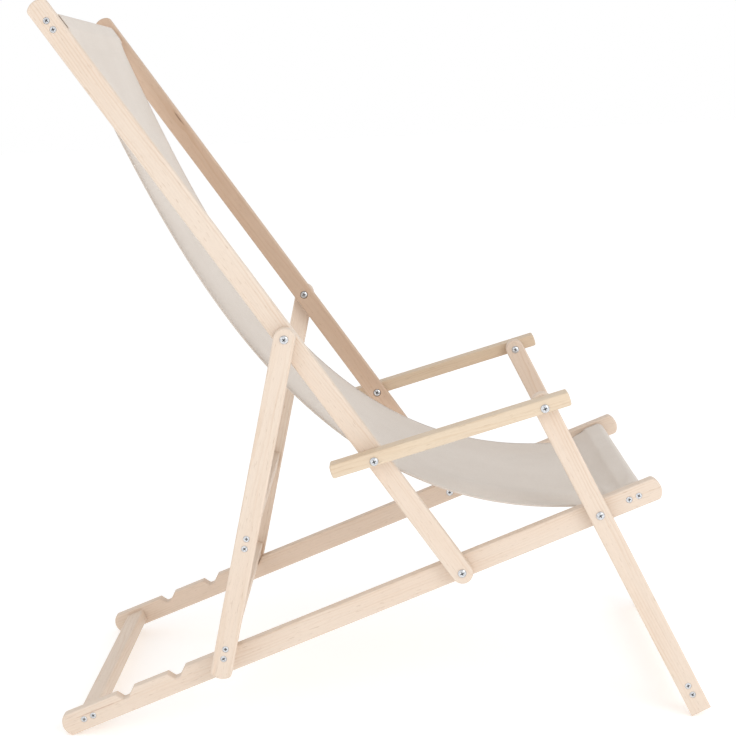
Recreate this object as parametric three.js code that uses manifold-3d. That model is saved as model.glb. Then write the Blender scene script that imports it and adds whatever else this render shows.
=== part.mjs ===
// Folding wooden deck chair with armrests and a canvas sling.
//
// Millimetres, +Z up, +X towards the sitter's feet, +Y towards the sitter's left hand.
// The origin is on the ground, under the middle of the chair's overall box.
//
// The frame is three flat sticks deep on each side. The seat rails are innermost, the back
// rails and the front legs lie outside them, and the prop legs and armrests are outermost.
// Every side piece is drawn flat and then hung on its pivot: the shape of the standing chair
// follows from the distances between the pivots and from the notch that the prop stands in.

import * as THREE from 'three';
import { mergeVertices } from 'three/addons/utils/BufferGeometryUtils.js';
import Module from 'manifold-3d';

// Driving dimensions

const insideWidth = 450;          // between the two seat rails
const stickThickness = 20;        // every flat stick, measured across the chair
const layerGap = 0.8;             // washer play between one layer and the next
const fitGap = 0.3;               // between pieces that touch in the real chair
const edgeEase = 2;               // planed-off edge of every stick

const seatRailWidth = 33.5;
const seatRailRear = 861;         // from the front leg's pivot to the rear tip
const seatRailFront = 98;         // from the front leg's pivot to the front tip
const seatPivotSpan = 217;        // from the front leg's pivot back to the back rail's pivot
const backPivotDrop = 2.8;        // the back rail's hole sits below the rail's middle line
const shallowEndRadius = 22;      // the gently rounded stick ends

const stickWidth = 31;            // back rails, front legs and prop legs
const roundEndMargin = 1;         // wood past the half round at a pivot end
const backRailLength = 1010;      // from its lower pivot to the top tip
const backToArmPivot = 215.6;
const backToPropPivot = 430;
const frontLegLower = 336;        // from the seat rail's pivot to the foot
const frontLegUpper = 184.6;      // from the seat rail's pivot up to the armrest's pivot
const propLegLength = 511;        // from its pivot to the lower end
const propToUpperBar = 303;
const propToLowerBar = 472;

const armrestWidth = 31;          // the face that the arm lies on, across the chair
const armrestThickness = 20;
const armrestPivotSpan = 253;     // between the armrest's two pivots
const armrestRearTail = 64;
const armrestFrontTail = 38;
const armrestEndRadius = 30;
const armrestPivotDrop = 3;       // the bolts pass below the middle of the arm's thickness

const barWidth = 30;              // every cross bar is the same section
const barThickness = 20;
const barEdgeRadius = 3;
const backBarInset = 39;          // from the back rail's top tip to the top bar
const frontBarInset = 42.5;       // from the seat rail's front tip to the front bar
const rearBarInset = 42;
const legBarInset = 38;           // from the foot up to the legs' cross bar

const notchCount = 3;
const notchPitch = 84.5;
const notchMouth = 28;
const notchDepth = 11.2;
const notchRearAngle = 56;        // degrees, from the rail's top edge down into the notch
const notchFrontAngle = 42;
const firstNotchRear = 598;       // from the front leg's pivot to the notch's rear lip

const screwSpacing = 15;
const screwLength = 45;
const screwHeadRadius = 4.6;
const screwConeDepth = 2.8;
const screwHeadRim = 0.5;         // straight edge of the countersunk head
const screwSunk = 0.2;            // head below the wood's face
const screwShankRadius = 1.9;
const screwPointLength = 4;
const screwSides = 10;

const boltHeadRadius = 6.4;
const boltHeadHeight = 2.8;
const boltRimHeight = 1.2;
const boltCrownRadius = 4.6;
const boltShankRadius = 3;
const boltEngagement = 10;        // shank inside the sleeve nut
const sleeveRadius = 4.4;
const sleeveShortfall = 8;        // the sleeve stops this far below the bolt's head
const sleeveFloor = 1;            // solid metal under the sleeve nut's head
const boltSides = 14;

const clothThickness = 1.6;
const slingWidth = 436;
const hemSlack = 0.6;             // between the cloth tunnel and the bar inside it
const topHemLength = 27;          // from the top bar's lower edge to its hem seam
const frontHemLength = 14;        // from the front bar's rear edge to its hem seam
const frontHemDrop = 1.5;         // the seam lies below the front bar's middle
const backHang = 351;             // how stiffly the cloth leaves the top hem
const backHangAngle = -68.1;      // degrees from level, in the standing chair
const seatHang = 433.4;             // how stiffly it leaves the front hem
const seatHangAngle = -173.95;
const clothSteps = 32;

const endSteps = 4;                 // half the facets of an end's arc
const wood = { colour: 0xeedcc4, roughness: 0.62, metalness: 0 };
const armWood = { colour: 0xecd4b4, roughness: 0.6, metalness: 0 };
const zinc = { colour: 0xc9ccd0, roughness: 0.28, metalness: 1 };
const canvas = { colour: 0xd8cfc7, roughness: 0.9, metalness: 0 };

// Sizes that follow

const seatLayer = insideWidth / 2;
const backLayer = seatLayer + stickThickness + layerGap;
const outerLayer = backLayer + stickThickness + layerGap;
const pivotHole = sleeveRadius + fitGap;
// the heads inside the back rails are let in, so that the seat rails fold past them
const headPocket = boltHeadHeight - layerGap + fitGap;
const screwHole = screwShankRadius + fitGap;
const radians = THREE.MathUtils.degToRad;
const sides = [
  { name: 'right', sign: -1 },
  { name: 'left', sign: 1 },
];

const wasm = await Module();
wasm.setup();

// Solids

function solidOf(geometry) {
  geometry.deleteAttribute('normal');
  geometry.deleteAttribute('uv');
  const merged = mergeVertices(geometry, 1e-4);
  return new wasm.Manifold(new wasm.Mesh({
    numProp: 3,
    vertProperties: new Float32Array(merged.attributes.position.array),
    triVerts: new Uint32Array(merged.index.array),
  }));
}

function geometryOf(solid) {
  const mesh = solid.getMesh();
  const geometry = new THREE.BufferGeometry();
  geometry.setAttribute('position', new THREE.BufferAttribute(mesh.vertProperties, 3));
  geometry.setIndex(new THREE.BufferAttribute(mesh.triVerts, 1));
  return geometry;
}

// A shape drawn in the chair's side view (x along, y up), as a plate centred on its thickness.
function plate(shape, thickness, ease, curveSegments = endSteps) {
  const geometry = new THREE.ExtrudeGeometry(shape, {
    depth: thickness - 2 * ease,
    bevelEnabled: ease > 0,
    bevelThickness: ease,
    bevelSize: ease,
    bevelOffset: -ease,
    bevelSegments: 1,
    curveSegments,
  });
  geometry.translate(0, 0, ease - thickness / 2);
  geometry.rotateX(Math.PI / 2);
  return geometry;
}

// A turned piece on the Y axis, from (radius, y) points that start and end on the axis.
function turned(profile, segments) {
  return new THREE.LatheGeometry(profile.map(([r, y]) => new THREE.Vector2(r, y)), segments);
}

// A stick's outline: straight edges, each end rounded to its own radius or left square.
function stickOutline({ from, to, width, fromRadius, toRadius, offset = 0, notches = [] }) {
  const half = width / 2;
  const shape = new THREE.Shape();
  const sweep = (radius) => Math.asin(Math.min(1, half / radius));
  if (toRadius) {
    const turn = sweep(toRadius);
    shape.absarc(to - toRadius, offset, toRadius, -turn, turn, false);
  } else {
    shape.moveTo(to, offset - half);
    shape.lineTo(to, offset + half);
  }
  for (const rearLip of notches) {
    const top = offset + half;
    const rearRun = notchDepth / Math.tan(radians(notchRearAngle));
    const frontRun = notchDepth / Math.tan(radians(notchFrontAngle));
    shape.lineTo(rearLip + notchMouth, top);
    shape.lineTo(rearLip + notchMouth - frontRun, top - notchDepth);
    shape.lineTo(rearLip + rearRun, top - notchDepth);
    shape.lineTo(rearLip, top);
  }
  if (fromRadius) {
    const turn = sweep(fromRadius);
    shape.absarc(from + fromRadius, offset, fromRadius, Math.PI - turn, Math.PI + turn, false);
  } else {
    shape.lineTo(from, offset + half);
    shape.lineTo(from, offset - half);
  }
  return shape;
}

// Straight through holes for pivots, and countersunk holes for a pair of wood screws.
function drill(geometry, thickness, side, pivotsAt, screwsAt) {
  let solid = solidOf(geometry);
  for (const x of pivotsAt) {
    const drillBit = new THREE.CylinderGeometry(pivotHole, pivotHole, thickness * 2, boltSides);
    drillBit.translate(x, 0, 0);
    solid = solid.subtract(solidOf(drillBit));
  }
  for (const x of screwsAt) {
    for (const shift of [-screwSpacing / 2, screwSpacing / 2]) {
      const mouth = screwHeadRadius + fitGap;
      const countersink = turned([
        [0, -thickness * 1.5],
        [screwHole, -thickness * 1.5],
        [screwHole, -screwSunk - screwConeDepth - fitGap],
        [mouth, -screwSunk - screwHeadRim - fitGap],
        [mouth, thickness],
        [0, thickness],
      ], screwSides);
      if (side.sign < 0) countersink.rotateX(Math.PI);
      countersink.translate(x + shift, side.sign * thickness / 2, 0);
      solid = solid.subtract(solidOf(countersink));
    }
  }
  return geometryOf(solid);
}

function crossBar(length) {
  const w = barWidth / 2;
  const t = barThickness / 2;
  const r = barEdgeRadius;
  const section = new THREE.Shape();
  section.absarc(w - r, t - r, r, 0, Math.PI / 2, false);
  section.absarc(r - w, t - r, r, Math.PI / 2, Math.PI, false);
  section.absarc(r - w, r - t, r, Math.PI, Math.PI * 1.5, false);
  section.absarc(w - r, r - t, r, Math.PI * 1.5, Math.PI * 2, false);
  const barSteps = 1;
  let solid = solidOf(plate(section, length, 0, barSteps));
  const pilotDepth = screwLength - stickThickness + fitGap;
  for (const end of [-1, 1]) {
    for (const shift of [-screwSpacing / 2, screwSpacing / 2]) {
      const pilot = new THREE.CylinderGeometry(screwHole, screwHole, pilotDepth * 2, screwSides);
      pilot.translate(shift, end * length / 2, 0);
      solid = solid.subtract(solidOf(pilot));
    }
  }
  return geometryOf(solid);
}

function woodScrew() {
  return turned([
    [0, -screwLength],
    [screwShankRadius, screwPointLength - screwLength],
    [screwShankRadius, -screwConeDepth],
    [screwHeadRadius, -screwHeadRim],
    [screwHeadRadius, 0],
    [0, 0],
  ], screwSides);
}

const boltHead = [
  [boltHeadRadius, fitGap],
  [boltHeadRadius, boltRimHeight],
  [boltCrownRadius, boltHeadHeight - fitGap],
  [0, boltHeadHeight],
];

function bolt(shankLength) {
  return turned([
    [0, -shankLength],
    [boltShankRadius, -shankLength],
    [boltShankRadius, fitGap],
    ...boltHead,
  ], boltSides);
}

function sleeveNut(sleeveLength) {
  const bore = boltShankRadius + fitGap;
  return turned([
    [0, -sleeveFloor],
    [bore, -sleeveFloor],
    [bore, -sleeveLength],
    [sleeveRadius, -sleeveLength],
    [sleeveRadius, fitGap],
    ...boltHead,
  ], boltSides);
}

// Bolt and sleeve nut screwed home, as one turned piece with a head at each end.
function closedBolt(stack) {
  const farHead = boltHead.map(([r, y]) => [r, -stack - y]).reverse();
  return turned([
    ...farHead,
    [sleeveRadius, -stack - fitGap],
    [sleeveRadius, fitGap],
    ...boltHead,
  ], boltSides);
}

// Where the pivots are, in the seat rail's own line: x forward, y square to it,
// measured from the front leg's pivot

const direction = (angle) => new THREE.Vector2(Math.cos(angle), Math.sin(angle));
const along = (start, angle, distance) => start.clone().addScaledVector(direction(angle), distance);
const bearing = (start, end) => Math.atan2(end.y - start.y, end.x - start.x);

// The third corner of a triangle, to the left of the line from start to end.
function corner(start, end, fromStart, fromEnd) {
  const base = start.distanceTo(end);
  const turn = Math.acos((base ** 2 + fromStart ** 2 - fromEnd ** 2) / (2 * base * fromStart));
  return along(start, bearing(start, end) + turn, fromStart);
}

const frontPivot = new THREE.Vector2(0, 0);
const backPivot = new THREE.Vector2(-seatPivotSpan, -backPivotDrop);

// The prop's lower bar leans on the rear lip of the front notch. How far it drops in depends
// on the prop's lean, and the lean on where the bar lies, so the two are settled in turn.
let propLean = radians(notchRearAngle);
let lowerBarPlace;
let propPivot;
const settlingRounds = 12;
for (let round = 0; round < settlingRounds; round += 1) {
  const reach = (barWidth * Math.sin(propLean) + barThickness * Math.cos(propLean)) / 2;
  const rise = reach - notchDepth + fitGap;
  const lipClearance = barWidth / 2 + fitGap;
  const ahead = (lipClearance - rise * Math.sin(propLean)) / Math.cos(propLean);
  lowerBarPlace = new THREE.Vector2(ahead - firstNotchRear, seatRailWidth / 2 + rise);
  propPivot = corner(lowerBarPlace, backPivot, propToLowerBar, backToPropPivot);
  propLean = bearing(lowerBarPlace, propPivot);
}

const backAngle = bearing(backPivot, propPivot);
const armRearPivot = along(backPivot, backAngle, backToArmPivot);
const armFrontPivot = corner(armRearPivot, frontPivot, armrestPivotSpan, frontLegUpper);
const armAngle = bearing(armRearPivot, armFrontPivot);
const legAngle = bearing(armFrontPivot, frontPivot);
const propAngle = bearing(propPivot, lowerBarPlace);

// The folded-flat frame hangs in one group, which is then stood on its feet

const linkage = new THREE.Group();

function add(name, geometry, finish, place, angle, y) {
  const material = new THREE.MeshStandardMaterial({
    color: finish.colour,
    roughness: finish.roughness,
    metalness: finish.metalness,
  });
  const mesh = new THREE.Mesh(geometry, material);
  mesh.name = name;
  mesh.position.set(place.x, y, place.y);
  mesh.rotation.y = -angle;
  linkage.add(mesh);
  return mesh;
}

// Anything turned: its axis lies across the chair, head outwards or inwards.
function addTurned(name, geometry, place, y, facing) {
  if (facing < 0) geometry.rotateX(Math.PI);
  return add(name, geometry, zinc, place, 0, y);
}

function addBar(name, place, angle, halfSpan) {
  add(name, crossBar(2 * (halfSpan - fitGap)), wood, place, angle, 0);
}

function addScrews(name, side, place, angle, layer) {
  const outerFace = layer + stickThickness - screwSunk;
  ['lower', 'upper'].forEach((label, i) => {
    const spot = along(place, angle, (i - 0.5) * screwSpacing);
    addTurned(`${name}_${label}_${side.name}`, woodScrew(), spot, side.sign * outerFace, side.sign);
  });
}

function addPivot(name, side, place, innerFace, outerFace) {
  const stack = outerFace - innerFace;
  const sleeve = stack - sleeveShortfall;
  const shank = sleeveShortfall + boltEngagement;
  addTurned(`${name}_bolt_${side.name}`, bolt(shank), place, side.sign * outerFace, side.sign);
  addTurned(`${name}_sleeve_nut_${side.name}`, sleeveNut(sleeve), place, side.sign * innerFace, -side.sign);
}

// Where the cross bars sit on their sticks

const frontBarAt = seatRailFront - frontBarInset;
const rearBarAt = rearBarInset - seatRailRear;
const topBarAt = backRailLength - backBarInset;
const legBarAt = frontLegLower - legBarInset;
const pivotEnd = stickWidth / 2 + roundEndMargin;
const frontBarPlace = new THREE.Vector2(frontBarAt, 0);
const rearBarPlace = new THREE.Vector2(rearBarAt, 0);
const topBarPlace = along(backPivot, backAngle, topBarAt);
const legBarPlace = along(frontPivot, legAngle, legBarAt);
const upperBarPlace = along(propPivot, propAngle, propToUpperBar);

function seatRail(side) {
  const notches = Array.from({ length: notchCount }, (_, i) => -firstNotchRear - i * notchPitch);
  const outline = stickOutline({
    from: -seatRailRear,
    to: seatRailFront,
    width: seatRailWidth,
    fromRadius: shallowEndRadius,
    toRadius: shallowEndRadius,
    notches,
  });
  const blank = plate(outline, stickThickness, edgeEase);
  // the back rail's hole is below the middle line, so it is drilled after the others
  const drilled = drill(blank, stickThickness, side, [0], [frontBarAt, rearBarAt]);
  const bit = new THREE.CylinderGeometry(pivotHole, pivotHole, stickThickness * 2, boltSides);
  bit.translate(-seatPivotSpan, 0, -backPivotDrop);
  return geometryOf(solidOf(drilled).subtract(solidOf(bit)));
}

function backRail(side) {
  const outline = stickOutline({
    from: -pivotEnd,
    to: backRailLength,
    width: stickWidth,
    fromRadius: stickWidth / 2,
    toRadius: shallowEndRadius,
  });
  const pivots = [0, backToArmPivot, backToPropPivot];
  const blank = plate(outline, stickThickness, edgeEase);
  let solid = solidOf(drill(blank, stickThickness, side, pivots, [topBarAt]));
  for (const x of [backToArmPivot, backToPropPivot]) {
    const mouth = boltHeadRadius + fitGap;
    const pocket = new THREE.CylinderGeometry(mouth, mouth, headPocket * 2, boltSides);
    pocket.translate(x, -side.sign * stickThickness / 2, 0);
    solid = solid.subtract(solidOf(pocket));
  }
  return geometryOf(solid);
}

function frontLeg(side) {
  const outline = stickOutline({
    from: -frontLegUpper - pivotEnd,
    to: frontLegLower,
    width: stickWidth,
    fromRadius: stickWidth / 2,
    toRadius: 0,
  });
  const pivots = [-frontLegUpper, 0];
  return drill(plate(outline, stickThickness, edgeEase), stickThickness, side, pivots, [legBarAt]);
}

function propLeg(side) {
  const outline = stickOutline({
    from: -pivotEnd,
    to: propLegLength,
    width: stickWidth,
    fromRadius: stickWidth / 2,
    toRadius: shallowEndRadius,
  });
  const screws = [propToUpperBar, propToLowerBar];
  return drill(plate(outline, stickThickness, edgeEase), stickThickness, side, [0], screws);
}

function armrest(side) {
  const outline = stickOutline({
    from: -armrestRearTail,
    to: armrestPivotSpan + armrestFrontTail,
    width: armrestThickness,
    fromRadius: armrestEndRadius,
    toRadius: armrestEndRadius,
    offset: armrestPivotDrop,
  });
  return drill(plate(outline, armrestWidth, edgeEase), armrestWidth, side, [0, armrestPivotSpan], []);
}

for (const side of sides) {
  const stickAt = (layer) => side.sign * (layer + stickThickness / 2);
  const armOuterFace = outerLayer + armrestWidth;
  const outerFace = (layer) => layer + stickThickness;

  add(`seat_rail_${side.name}`, seatRail(side), wood, frontPivot, 0, stickAt(seatLayer));
  add(`back_rail_${side.name}`, backRail(side), wood, backPivot, backAngle, stickAt(backLayer));
  add(`front_leg_${side.name}`, frontLeg(side), wood, frontPivot, legAngle, stickAt(backLayer));
  add(`prop_leg_${side.name}`, propLeg(side), wood, propPivot, propAngle, stickAt(outerLayer));
  add(`armrest_${side.name}`, armrest(side), armWood, armRearPivot, armAngle,
    side.sign * (outerLayer + armrestWidth / 2));

  addScrews('seat_front_screw', side, frontBarPlace, 0, seatLayer);
  addScrews('seat_rear_screw', side, rearBarPlace, 0, seatLayer);
  addScrews('back_top_screw', side, topBarPlace, backAngle, backLayer);
  addScrews('front_leg_screw', side, legBarPlace, legAngle, backLayer);
  addScrews('prop_upper_screw', side, upperBarPlace, propAngle, outerLayer);
  addScrews('prop_lower_screw', side, lowerBarPlace, propAngle, outerLayer);

  addPivot('back_pivot', side, backPivot, seatLayer, outerFace(backLayer));
  addPivot('front_leg_pivot', side, frontPivot, seatLayer, outerFace(backLayer));
  const pocketFloor = backLayer + headPocket;
  addPivot('prop_pivot', side, propPivot, pocketFloor, outerFace(outerLayer));
  addTurned(`armrest_rear_bolt_${side.name}`, closedBolt(armOuterFace - pocketFloor), armRearPivot,
    side.sign * armOuterFace, side.sign);
  // the front bolt stays in the armrest and its nut in the leg, with the layer gap between them
  addTurned(`armrest_front_bolt_${side.name}`, bolt(armrestWidth - fitGap), armFrontPivot,
    side.sign * armOuterFace, side.sign);
  addTurned(`armrest_front_sleeve_nut_${side.name}`, sleeveNut(stickThickness - fitGap), armFrontPivot,
    side.sign * backLayer, -side.sign);
}

addBar('seat_front_bar', frontBarPlace, 0, seatLayer);
addBar('seat_rear_bar', rearBarPlace, 0, seatLayer);
addBar('back_top_bar', topBarPlace, backAngle, backLayer);
addBar('front_leg_bar', legBarPlace, legAngle, backLayer);
addBar('prop_upper_bar', upperBarPlace, propAngle, outerLayer);
addBar('prop_lower_bar', lowerBarPlace, propAngle, outerLayer);

// Standing on the floor: the line under the seat rails' rear ends and the front feet is level

const endTurn = Math.asin(seatRailWidth / 2 / shallowEndRadius);
const endShoulder = shallowEndRadius * (1 - Math.cos(endTurn));
const rearContact = new THREE.Vector2(endShoulder - seatRailRear, -seatRailWidth / 2);
const footMiddle = along(frontPivot, legAngle, frontLegLower);
const footContact = along(footMiddle, legAngle - Math.PI / 2, stickWidth / 2);
const standingAngle = -bearing(rearContact, footContact);
linkage.rotation.y = -standingAngle;
linkage.updateMatrixWorld(true);

// The sling: one strip of cloth from the top bar to the front bar, with a tunnel hem at each

// The smallest loop round a set of points, anticlockwise.
function loopRound(points) {
  const sorted = [...points].sort((a, b) => a.x - b.x || a.y - b.y);
  const turns = (o, a, b) => (a.x - o.x) * (b.y - o.y) - (a.y - o.y) * (b.x - o.x);
  const half = (list) => {
    const out = [];
    for (const p of list) {
      while (out.length > 1 && turns(out.at(-2), out.at(-1), p) <= 0) out.pop();
      out.push(p);
    }
    return out.slice(0, -1);
  };
  return [...half(sorted), ...half(sorted.reverse())];
}

function barOutlinePoints(centre, angle, grow) {
  const across = direction(angle);
  const up = direction(angle + Math.PI / 2);
  const radius = barEdgeRadius + grow;
  const cornerSteps = 3;
  const points = [];
  for (const [sx, sy] of [[1, 1], [-1, 1], [-1, -1], [1, -1]]) {
    const middle = centre.clone()
      .addScaledVector(across, sx * (barWidth / 2 - barEdgeRadius))
      .addScaledVector(up, sy * (barThickness / 2 - barEdgeRadius));
    for (let i = 0; i <= cornerSteps; i += 1) {
      const turn = angle + Math.atan2(sy, sx) - Math.PI / 4 + (i / cornerSteps) * Math.PI / 2;
      points.push(along(middle, turn, radius));
    }
  }
  return points;
}

// A tunnel of cloth round a bar, drawn to a point at its seam.
function tunnel(centre, angle, seam) {
  const towards = bearing(seam, centre);
  const innerSeam = along(seam, towards, clothThickness * 2);
  const seamEdges = [-1, 1].map((s) => along(seam, towards + s * Math.PI / 2, clothThickness / 2));
  const outer = loopRound([...barOutlinePoints(centre, angle, hemSlack + clothThickness), ...seamEdges]);
  const inner = loopRound([...barOutlinePoints(centre, angle, hemSlack), innerSeam]);
  const shape = new THREE.Shape(outer);
  shape.holes.push(new THREE.Path(inner));
  return solidOf(plate(shape, slingWidth, 0));
}

function standing(point) {
  const world = linkage.localToWorld(new THREE.Vector3(point.x, 0, point.y));
  return new THREE.Vector2(world.x, world.z);
}

function sling() {
  const backLine = backAngle + standingAngle;
  const topBar = standing(topBarPlace);
  const frontBar = standing(frontBarPlace);
  const topSeam = along(topBar, backLine + Math.PI, barWidth / 2 + topHemLength - barThickness / 2);
  topSeam.addScaledVector(direction(backLine - Math.PI / 2), barThickness / 4);
  const frontSeam = along(frontBar, standingAngle + Math.PI, barWidth / 2 + frontHemLength);
  frontSeam.addScaledVector(direction(standingAngle - Math.PI / 2), frontHemDrop);
  const hang = new THREE.CubicBezierCurve(
    topSeam,
    along(topSeam, radians(backHangAngle), backHang),
    along(frontSeam, radians(seatHangAngle), seatHang),
    frontSeam,
  );
  const upper = [];
  const lower = [];
  for (let i = 0; i <= clothSteps; i += 1) {
    const t = i / clothSteps;
    const slope = hang.getTangent(t).angle();
    upper.push(along(hang.getPoint(t), slope + Math.PI / 2, clothThickness / 2));
    lower.push(along(hang.getPoint(t), slope - Math.PI / 2, clothThickness / 2));
  }
  const strip = solidOf(plate(new THREE.Shape([...lower, ...upper.reverse()]), slingWidth, 0));
  return geometryOf(strip
    .add(tunnel(topBar, backLine, topSeam))
    .add(tunnel(frontBar, standingAngle, frontSeam)));
}

const slingMesh = new THREE.Mesh(sling(), new THREE.MeshStandardMaterial({
  color: canvas.colour,
  roughness: canvas.roughness,
  metalness: canvas.metalness,
}));
slingMesh.name = 'sling';

const chair = new THREE.Group();
chair.add(linkage, slingMesh);
chair.updateMatrixWorld(true);
const extent = new THREE.Box3().setFromObject(chair, true);
chair.position.x = -(extent.min.x + extent.max.x) / 2;
chair.position.z = -extent.min.z;

export default chair;
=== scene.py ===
import bisect
import functools
import math
import bmesh
import bpy
from mathutils import Matrix, Vector, geometry


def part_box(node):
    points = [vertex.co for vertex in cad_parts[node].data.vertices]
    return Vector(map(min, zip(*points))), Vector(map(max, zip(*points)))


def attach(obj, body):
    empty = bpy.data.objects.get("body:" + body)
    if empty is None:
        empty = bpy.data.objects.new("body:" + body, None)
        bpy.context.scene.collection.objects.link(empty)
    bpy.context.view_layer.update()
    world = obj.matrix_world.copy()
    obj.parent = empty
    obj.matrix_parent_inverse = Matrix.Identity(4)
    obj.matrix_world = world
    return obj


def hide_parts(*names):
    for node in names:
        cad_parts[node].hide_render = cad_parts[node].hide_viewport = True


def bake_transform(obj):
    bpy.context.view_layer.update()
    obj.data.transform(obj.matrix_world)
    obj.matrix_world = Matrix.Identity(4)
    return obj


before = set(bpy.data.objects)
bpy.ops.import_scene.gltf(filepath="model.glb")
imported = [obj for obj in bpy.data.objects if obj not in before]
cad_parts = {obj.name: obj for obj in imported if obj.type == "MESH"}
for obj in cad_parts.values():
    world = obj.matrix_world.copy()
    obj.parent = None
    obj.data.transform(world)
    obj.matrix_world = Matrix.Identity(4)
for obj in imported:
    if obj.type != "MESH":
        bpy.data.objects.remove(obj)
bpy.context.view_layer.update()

# Sizes in metres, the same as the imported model's

SIDES = {"right": -1, "left": 1}

STICK_THICKNESS = 0.020
LAYER_GAP = 0.0008
FIT_GAP = 0.0003
SEAT_LAYER = 0.225
BACK_LAYER = SEAT_LAYER + STICK_THICKNESS + LAYER_GAP
OUTER_LAYER = BACK_LAYER + STICK_THICKNESS + LAYER_GAP

SEAT_RAIL_WIDTH = 0.0335
SEAT_RAIL_REAR = 0.861
SEAT_RAIL_FRONT = 0.098
SHALLOW_END = 0.022
SHALLOW_CORNER = 0.006
STICK_WIDTH = 0.031
PIVOT_END = STICK_WIDTH / 2 + 0.001
BACK_RAIL_LENGTH = 1.010
FRONT_LEG_LOWER = 0.336
PROP_LEG_LENGTH = 0.511
ARMREST_WIDTH = 0.031
ARMREST_THICKNESS = 0.020
ARMREST_REAR_TAIL = 0.064
ARMREST_FRONT_TAIL = 0.038
ARMREST_END = 0.060
ARMREST_LIFT = 0.003
ARMREST_CORNER = 0.003

NOTCH_COUNT = 3
NOTCH_PITCH = 0.0845
NOTCH_MOUTH = 0.028
NOTCH_DEPTH = 0.0112
NOTCH_REAR_ANGLE = math.radians(56)
NOTCH_FRONT_ANGLE = math.radians(42)
FIRST_NOTCH_REAR = 0.598
NOTCH_CORNER = 0.0012

STICK_EASE = 0.0026
EASE_STEPS = 4
END_STEPS = 12
CORNER_STEPS = 5

BAR_WIDTH = 0.030
BAR_THICKNESS = 0.020
BAR_ROUNDING = 0.003
BAR_END_EASE = 0.0005

SCREW_HEAD = 0.0046
SCREW_SUNK = 0.0002
SCREW_SHANK = 0.0019
SCREW_LENGTH = 0.045
HEAD_CLEARANCE = 0.00035
SEAT_RIM = 0.0007
SEAT_DEPTH = 0.0029
SEAT_FLOOR_SHARE = 0.45
HEAD_SEGMENTS = 28
BOLT_HEAD = 0.0064
BOLT_HEAD_HEIGHT = 0.0028
HEAD_POCKET = BOLT_HEAD_HEIGHT - LAYER_GAP + FIT_GAP

CLOTH_WIDTH = 0.436
CLOTH_THICKNESS = 0.0011
LOOP_CLEARANCE = 0.0022
LOOP_ROUNDING = 0.0035
TOP_SEAM_DROP = 0.032
TOP_SEAM_FORWARD = 0.005
FRONT_SEAM_BACK = 0.029
FRONT_SEAM_DROP = 0.0015
BACK_HANG = 0.351
BACK_HANG_ANGLE = math.radians(-68.1)
SEAT_HANG = 0.4334
SEAT_HANG_ANGLE = math.radians(-173.95)
HEM_TAIL = 0.010
PLY_GAP = 0.0002
UNDER_GAP = 0.0003
PATH_SPACING = 0.004
CLOTH_COLUMNS = 44
SIDE_HEM_STEPS = 150
SIDE_HEM_START = 0.014
SIDE_STITCH_START = 0.016
HEM_WEAVE_SHIFT = 0.4
HEM_ROWS = (0.0025, 0.0080)
ROW_END = 0.004
SIDE_HEM = 0.013
STITCH_PITCH = 0.0036
THREAD_WIDTH = 0.00026
THREAD_HEIGHT = 0.00020


def srgb(red, green, blue):
    """A colour from eight-bit values, as the shader wants it."""
    def linear(value):
        value = value / 255
        return value / 12.92 if value <= 0.04045 else ((value + 0.055) / 1.055) ** 2.4
    return (linear(red), linear(green), linear(blue), 1)


# Where the chair's pieces are

def middle(node):
    low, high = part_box(node)
    return (Vector(low) + Vector(high)) / 2


def bearing(start, end):
    return math.atan2(end.z - start.z, end.x - start.x)


def heading(angle):
    return Vector((math.cos(angle), 0, math.sin(angle)))


def in_side_view(point):
    return Vector((point.x, 0, point.z))


BACK_PIVOT = in_side_view(middle("back_pivot_bolt_right"))
LEG_PIVOT = in_side_view(middle("front_leg_pivot_bolt_right"))
PROP_PIVOT = in_side_view(middle("prop_pivot_bolt_right"))
ARM_REAR = in_side_view(middle("armrest_rear_bolt_right"))
ARM_FRONT = in_side_view(middle("armrest_front_bolt_right"))
SEAT_ANGLE = bearing(middle("seat_rear_screw_lower_right"), middle("seat_front_screw_lower_right"))
BACK_ANGLE = bearing(BACK_PIVOT, PROP_PIVOT)
LEG_ANGLE = bearing(ARM_FRONT, LEG_PIVOT)
PROP_ANGLE = bearing(middle("prop_upper_screw_lower_right"), middle("prop_lower_screw_lower_right"))
ARM_ANGLE = bearing(ARM_REAR, ARM_FRONT)


# Shader helpers

def add_node(tree, kind, values=None, **settings):
    """A node with its settings made; values are numbers, colours or sockets, by input name or index."""
    node = tree.nodes.new(kind)
    for name, setting in settings.items():
        setattr(node, name, setting)
    for socket, value in (values or {}).items():
        if isinstance(value, bpy.types.NodeSocket):
            tree.links.new(value, node.inputs[socket])
        else:
            node.inputs[socket].default_value = value
    return node


def math_node(tree, operation, *values, clamp=False):
    node = add_node(tree, "ShaderNodeMath", dict(enumerate(values)), operation=operation, use_clamp=clamp)
    return node.outputs[0]


def vector_node(tree, operation, *values):
    return add_node(tree, "ShaderNodeVectorMath", dict(enumerate(values)), operation=operation)


def mixed(tree, factor, first, second, blend="MIX"):
    node = add_node(tree, "ShaderNodeMix", data_type="RGBA", blend_type=blend)
    for socket, value in ((node.inputs[0], factor), (node.inputs[6], first), (node.inputs[7], second)):
        if isinstance(value, bpy.types.NodeSocket):
            tree.links.new(value, socket)
        else:
            socket.default_value = value
    return node.outputs[2]


def spread(tree, value, low, high, new_low=0.0, new_high=1.0):
    values = {0: value, 1: low, 2: high, 3: new_low, 4: new_high}
    return add_node(tree, "ShaderNodeMapRange", values, interpolation_type="SMOOTHSTEP").outputs[0]


def layered(tree, colour, *layers):
    """The colour with (mask, strength, tone) layers over it, one after another."""
    for mask, strength, tone in layers:
        colour = mixed(tree, math_node(tree, "MULTIPLY", mask, strength), colour, tone)
    return colour


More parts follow.
